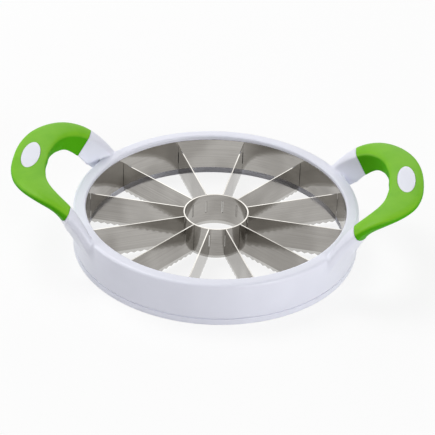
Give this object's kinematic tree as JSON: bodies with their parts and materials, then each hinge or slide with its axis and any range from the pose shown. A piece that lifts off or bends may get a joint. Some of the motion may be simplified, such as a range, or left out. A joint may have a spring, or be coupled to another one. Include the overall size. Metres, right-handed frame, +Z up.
{
  "type": "melon slicer",
  "caption": "Round push-down fruit slicer: a white ring with radial serrated steel blades meeting at a core ring, and two raised loop handles with soft green grips.",
  "frame": {"origin": "centre of the ring on the plane it rests on", "axes": "+X through the middle of one handle, -Y towards the side that faces the viewer in the picture, +Z up, with the cutting edges facing down"},
  "size_m": [0.312, 0.22, 0.0677],
  "materials": {
    "frame_white": "smooth satin-gloss moulded plastic, white with a faint cool tint",
    "grip_green": "soft satin moulded rubber, lime green",
    "inlay_white": "smooth white pad, slightly glossy",
    "polished_steel": "polished stainless steel, mirror-like with fine rolling lines",
    "blade_steel": "polished stainless blade with a ground, serrated lower edge",
    "screw_steel": "plain zinc-grey screw steel"
  },
  "bodies": {
    "root": {"upper_frame": "frame_white", "lower_ring": "frame_white", "outer_band": "polished_steel", "core_ring": "polished_steel", "right_grip": "grip_green", "right_inlay": "inlay_white", "left_grip": "grip_green", "left_inlay": "inlay_white", "blade_01": "blade_steel", "blade_02": "blade_steel", "blade_03": "blade_steel", "blade_04": "blade_steel", "blade_05": "blade_steel", "blade_06": "blade_steel", "blade_07": "blade_steel", "blade_08": "blade_steel", "blade_09": "blade_steel", "blade_10": "blade_steel", "blade_11": "blade_steel", "blade_12": "blade_steel", "screw_1": "screw_steel", "screw_2": "screw_steel", "screw_3": "screw_steel", "screw_4": "screw_steel", "screw_5": "screw_steel", "screw_6": "screw_steel"}
  },
  "joints": []
}
